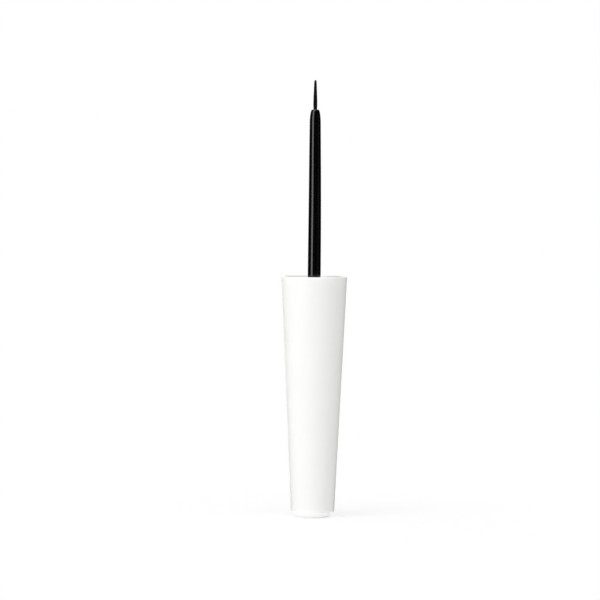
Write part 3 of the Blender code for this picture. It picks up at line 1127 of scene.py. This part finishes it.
# %% [markdown]
# ## Black cards and soft panels
#
# A black rod in a white room mirrors the room and turns grey. A photographer stands black cards round it,
# leaves the white backdrop open behind it, and lets one soft panel show as a clean stripe. The cards here are
# a dome that goes on over the table, with a gap at the back, and only reflections can see them. The camera
# looks through them, and they take no light from the cap. In the cap's gloss they draw the thin darker line
# that parts a white edge from a white backdrop. The gap reaches further round on the left, where that line is
# fainter.

# %% Dome of black cards
card_distance = 800.0
card_foot = radians(-20)
card_gap_left = radians(28)
card_gap_right = radians(16)
card_rows = 40
card_columns = 90
floor_card_height = 0.05
floor_card_radii = np.array([12.0, 40.0, 100.0, 240.0])[:, None]

card_rise = np.linspace(card_foot, pi / 2, card_rows)[:, None]
card_turn = np.linspace(pi / 2 + card_gap_left, 5 * pi / 2 - card_gap_right, card_columns)
card_radii = np.concatenate([floor_card_radii, card_distance * np.cos(card_rise)])
floor_heights = np.full_like(floor_card_radii, floor_card_height)
card_heights = np.concatenate([floor_heights, card_distance * np.sin(card_rise)])
card_points = turned(card_radii, card_heights, card_turn).reshape(-1, 3)
card_faces = grid_faces(len(card_radii), card_columns, False).reshape(-1, card_columns, 4)
open_faces = card_faces[:, :-1].reshape(-1, 4)
cards = make_piece("black_cards", card_points, [open_faces])
card_black, shader = new_finish("card_black", (0, 0, 0), roughness=1.0, specular=0.0)
cards.data.materials.append(card_black)
for ray in ("camera", "diffuse", "transmission", "volume_scatter", "shadow"):
    setattr(cards, f"visible_{ray}", False)

# %% [markdown]
# The key panel stands on the left and draws the stripe along the stem, and a large one overhead fills the
# mouth and the rim. Between them hangs a card as bright as the key that only reflections see, so the stripe
# runs on over the nose. A narrow dim one on the right draws a faint line down the other side.

# %% Soft panels
aim_share = 0.6
key_radiance = 2.55


def facing(right, up, forward, place):
    """Matrix of a lamp or camera: its columns are its right, its up, its back and its place."""
    return Matrix(np.column_stack([np.vstack([right, up, -forward, place]), (0, 0, 0, 1)]).T.tolist())


def soft_panel(name, azimuth, rise, distance, width, height, radiance):
    """An area lamp aimed at a point of the applicator's axis. Azimuth is degrees to the right of the camera's
    side, rise is degrees up, and its power is pi * area * radiance, so the radiance is what a mirror would
    show."""
    turn, lift = radians(azimuth), radians(rise)
    forward = -np.array([sin(turn) * cos(lift), -cos(turn) * cos(lift), sin(lift)])
    side = np.cross(forward, (0, 0, 1))
    side /= np.linalg.norm(side)
    place = np.array([0.0, 0.0, brush_tip * aim_share]) - forward * distance
    lamp = bpy.data.lights.new(name, "AREA")
    lamp.shape = "RECTANGLE"
    lamp.size = width * MM
    lamp.size_y = height * MM
    lamp.energy = pi * width * height * MM**2 * radiance
    holder = bpy.data.objects.new(name, lamp)
    holder.matrix_world = facing(side, np.cross(side, forward), forward, place * MM)
    holder.visible_camera = False
    bpy.context.scene.collection.objects.link(holder)
    print(f"{name}: {lamp.energy:.2f} W")
    return holder


soft_panel("key_panel", azimuth=-47, rise=16, distance=450, width=245, height=330, radiance=key_radiance)
soft_panel("top_panel", azimuth=-15, rise=76, distance=600, width=400, height=400, radiance=3.4)
soft_panel("edge_card", azimuth=67, rise=0, distance=450, width=60, height=300, radiance=0.25)
nose_card = soft_panel(
    "nose_card", azimuth=-42, rise=52, distance=450, width=200, height=270, radiance=key_radiance
)
nose_card.visible_diffuse = False

# %% [markdown]
# ## The camera
#
# The view is from in front, a little above the rim and an arm's length away, through a long lens. Two points
# fix the rest: where the brush's tip and the middle of the foot lie in the picture. The camera's aim, roll
# and focal length are found by Newton's method, which moves all four numbers until both points land on their
# pixels.

# %% Where a point falls in the picture
picture_size = 600.0
sensor_width = 36.0
camera_distance = 720.0
camera_height = 80.6
eye = np.array([0.0, -camera_distance, camera_height])


def camera_axes(aim_x, aim_z, roll):
    """Right, up and forward of a camera at the eye that looks at (aim_x, 0, aim_z), turned by roll."""
    forward = np.array([aim_x, 0.0, aim_z]) - eye
    forward /= np.linalg.norm(forward)
    level = np.cross(forward, (0, 0, 1))
    level /= np.linalg.norm(level)
    upright = np.cross(level, forward)
    right = level * cos(roll) + upright * sin(roll)
    return right, np.cross(right, forward), forward


def pixels_of(points, unknowns):
    """Where points fall in the picture: its middle plus focal length times sideways offset over depth."""
    aim_x, aim_z, roll, focal = unknowns
    right, up, forward = camera_axes(aim_x, aim_z, roll)
    offset = points - eye
    depth = offset @ forward
    focal_pixels = focal / sensor_width * picture_size
    across = picture_size / 2 + focal_pixels * (offset @ right) / depth
    down = picture_size / 2 - focal_pixels * (offset @ up) / depth
    return np.column_stack([across, down]).ravel()


# %% Aim the camera
tip_pixel = (315.5, 79.9)
foot_pixel = (312.45, 516.5)
start_focal = 180.0
nudge_sizes = [0.1, 0.1, 0.001, 0.1]
newton_rounds = 8

landmarks = np.array([[0.0, 0.0, brush_tip], [0.0, 0.0, 0.0]])
wanted = np.array([*tip_pixel, *foot_pixel])
unknowns = np.array([0.0, brush_tip / 2, 0.0, start_focal])
for _ in range(newton_rounds):
    missed = pixels_of(landmarks, unknowns) - wanted
    nudged = [pixels_of(landmarks, unknowns + nudge) - wanted for nudge in np.diag(nudge_sizes)]
    slopes = (np.array(nudged) - missed).T / nudge_sizes
    unknowns = unknowns - np.linalg.solve(slopes, missed)

aim_x, aim_z, roll, focal = unknowns
print(f"lens {focal:.1f} mm, roll {np.degrees(roll):.2f} degrees, missed by {np.abs(missed).max():.4f} px")

# %% Camera
nearest_seen = 0.05
farthest_seen = 20

right, up, forward = camera_axes(aim_x, aim_z, roll)
lens = bpy.data.cameras.new("portrait_lens")
lens.sensor_width = sensor_width
lens.lens = focal
lens.clip_start = nearest_seen
lens.clip_end = farthest_seen
camera = bpy.data.objects.new("portrait_camera", lens)
camera.matrix_world = facing(right, up, forward, eye * MM)
bpy.context.scene.collection.objects.link(camera)
bpy.context.scene.camera = camera

# %% [markdown]
# The Standard view shows a colour as it was written. Filmic views roll off the whites, which would turn the
# backdrop grey and flatten the cap.

# %% Colour management
bpy.context.scene.view_settings.view_transform = "Standard"
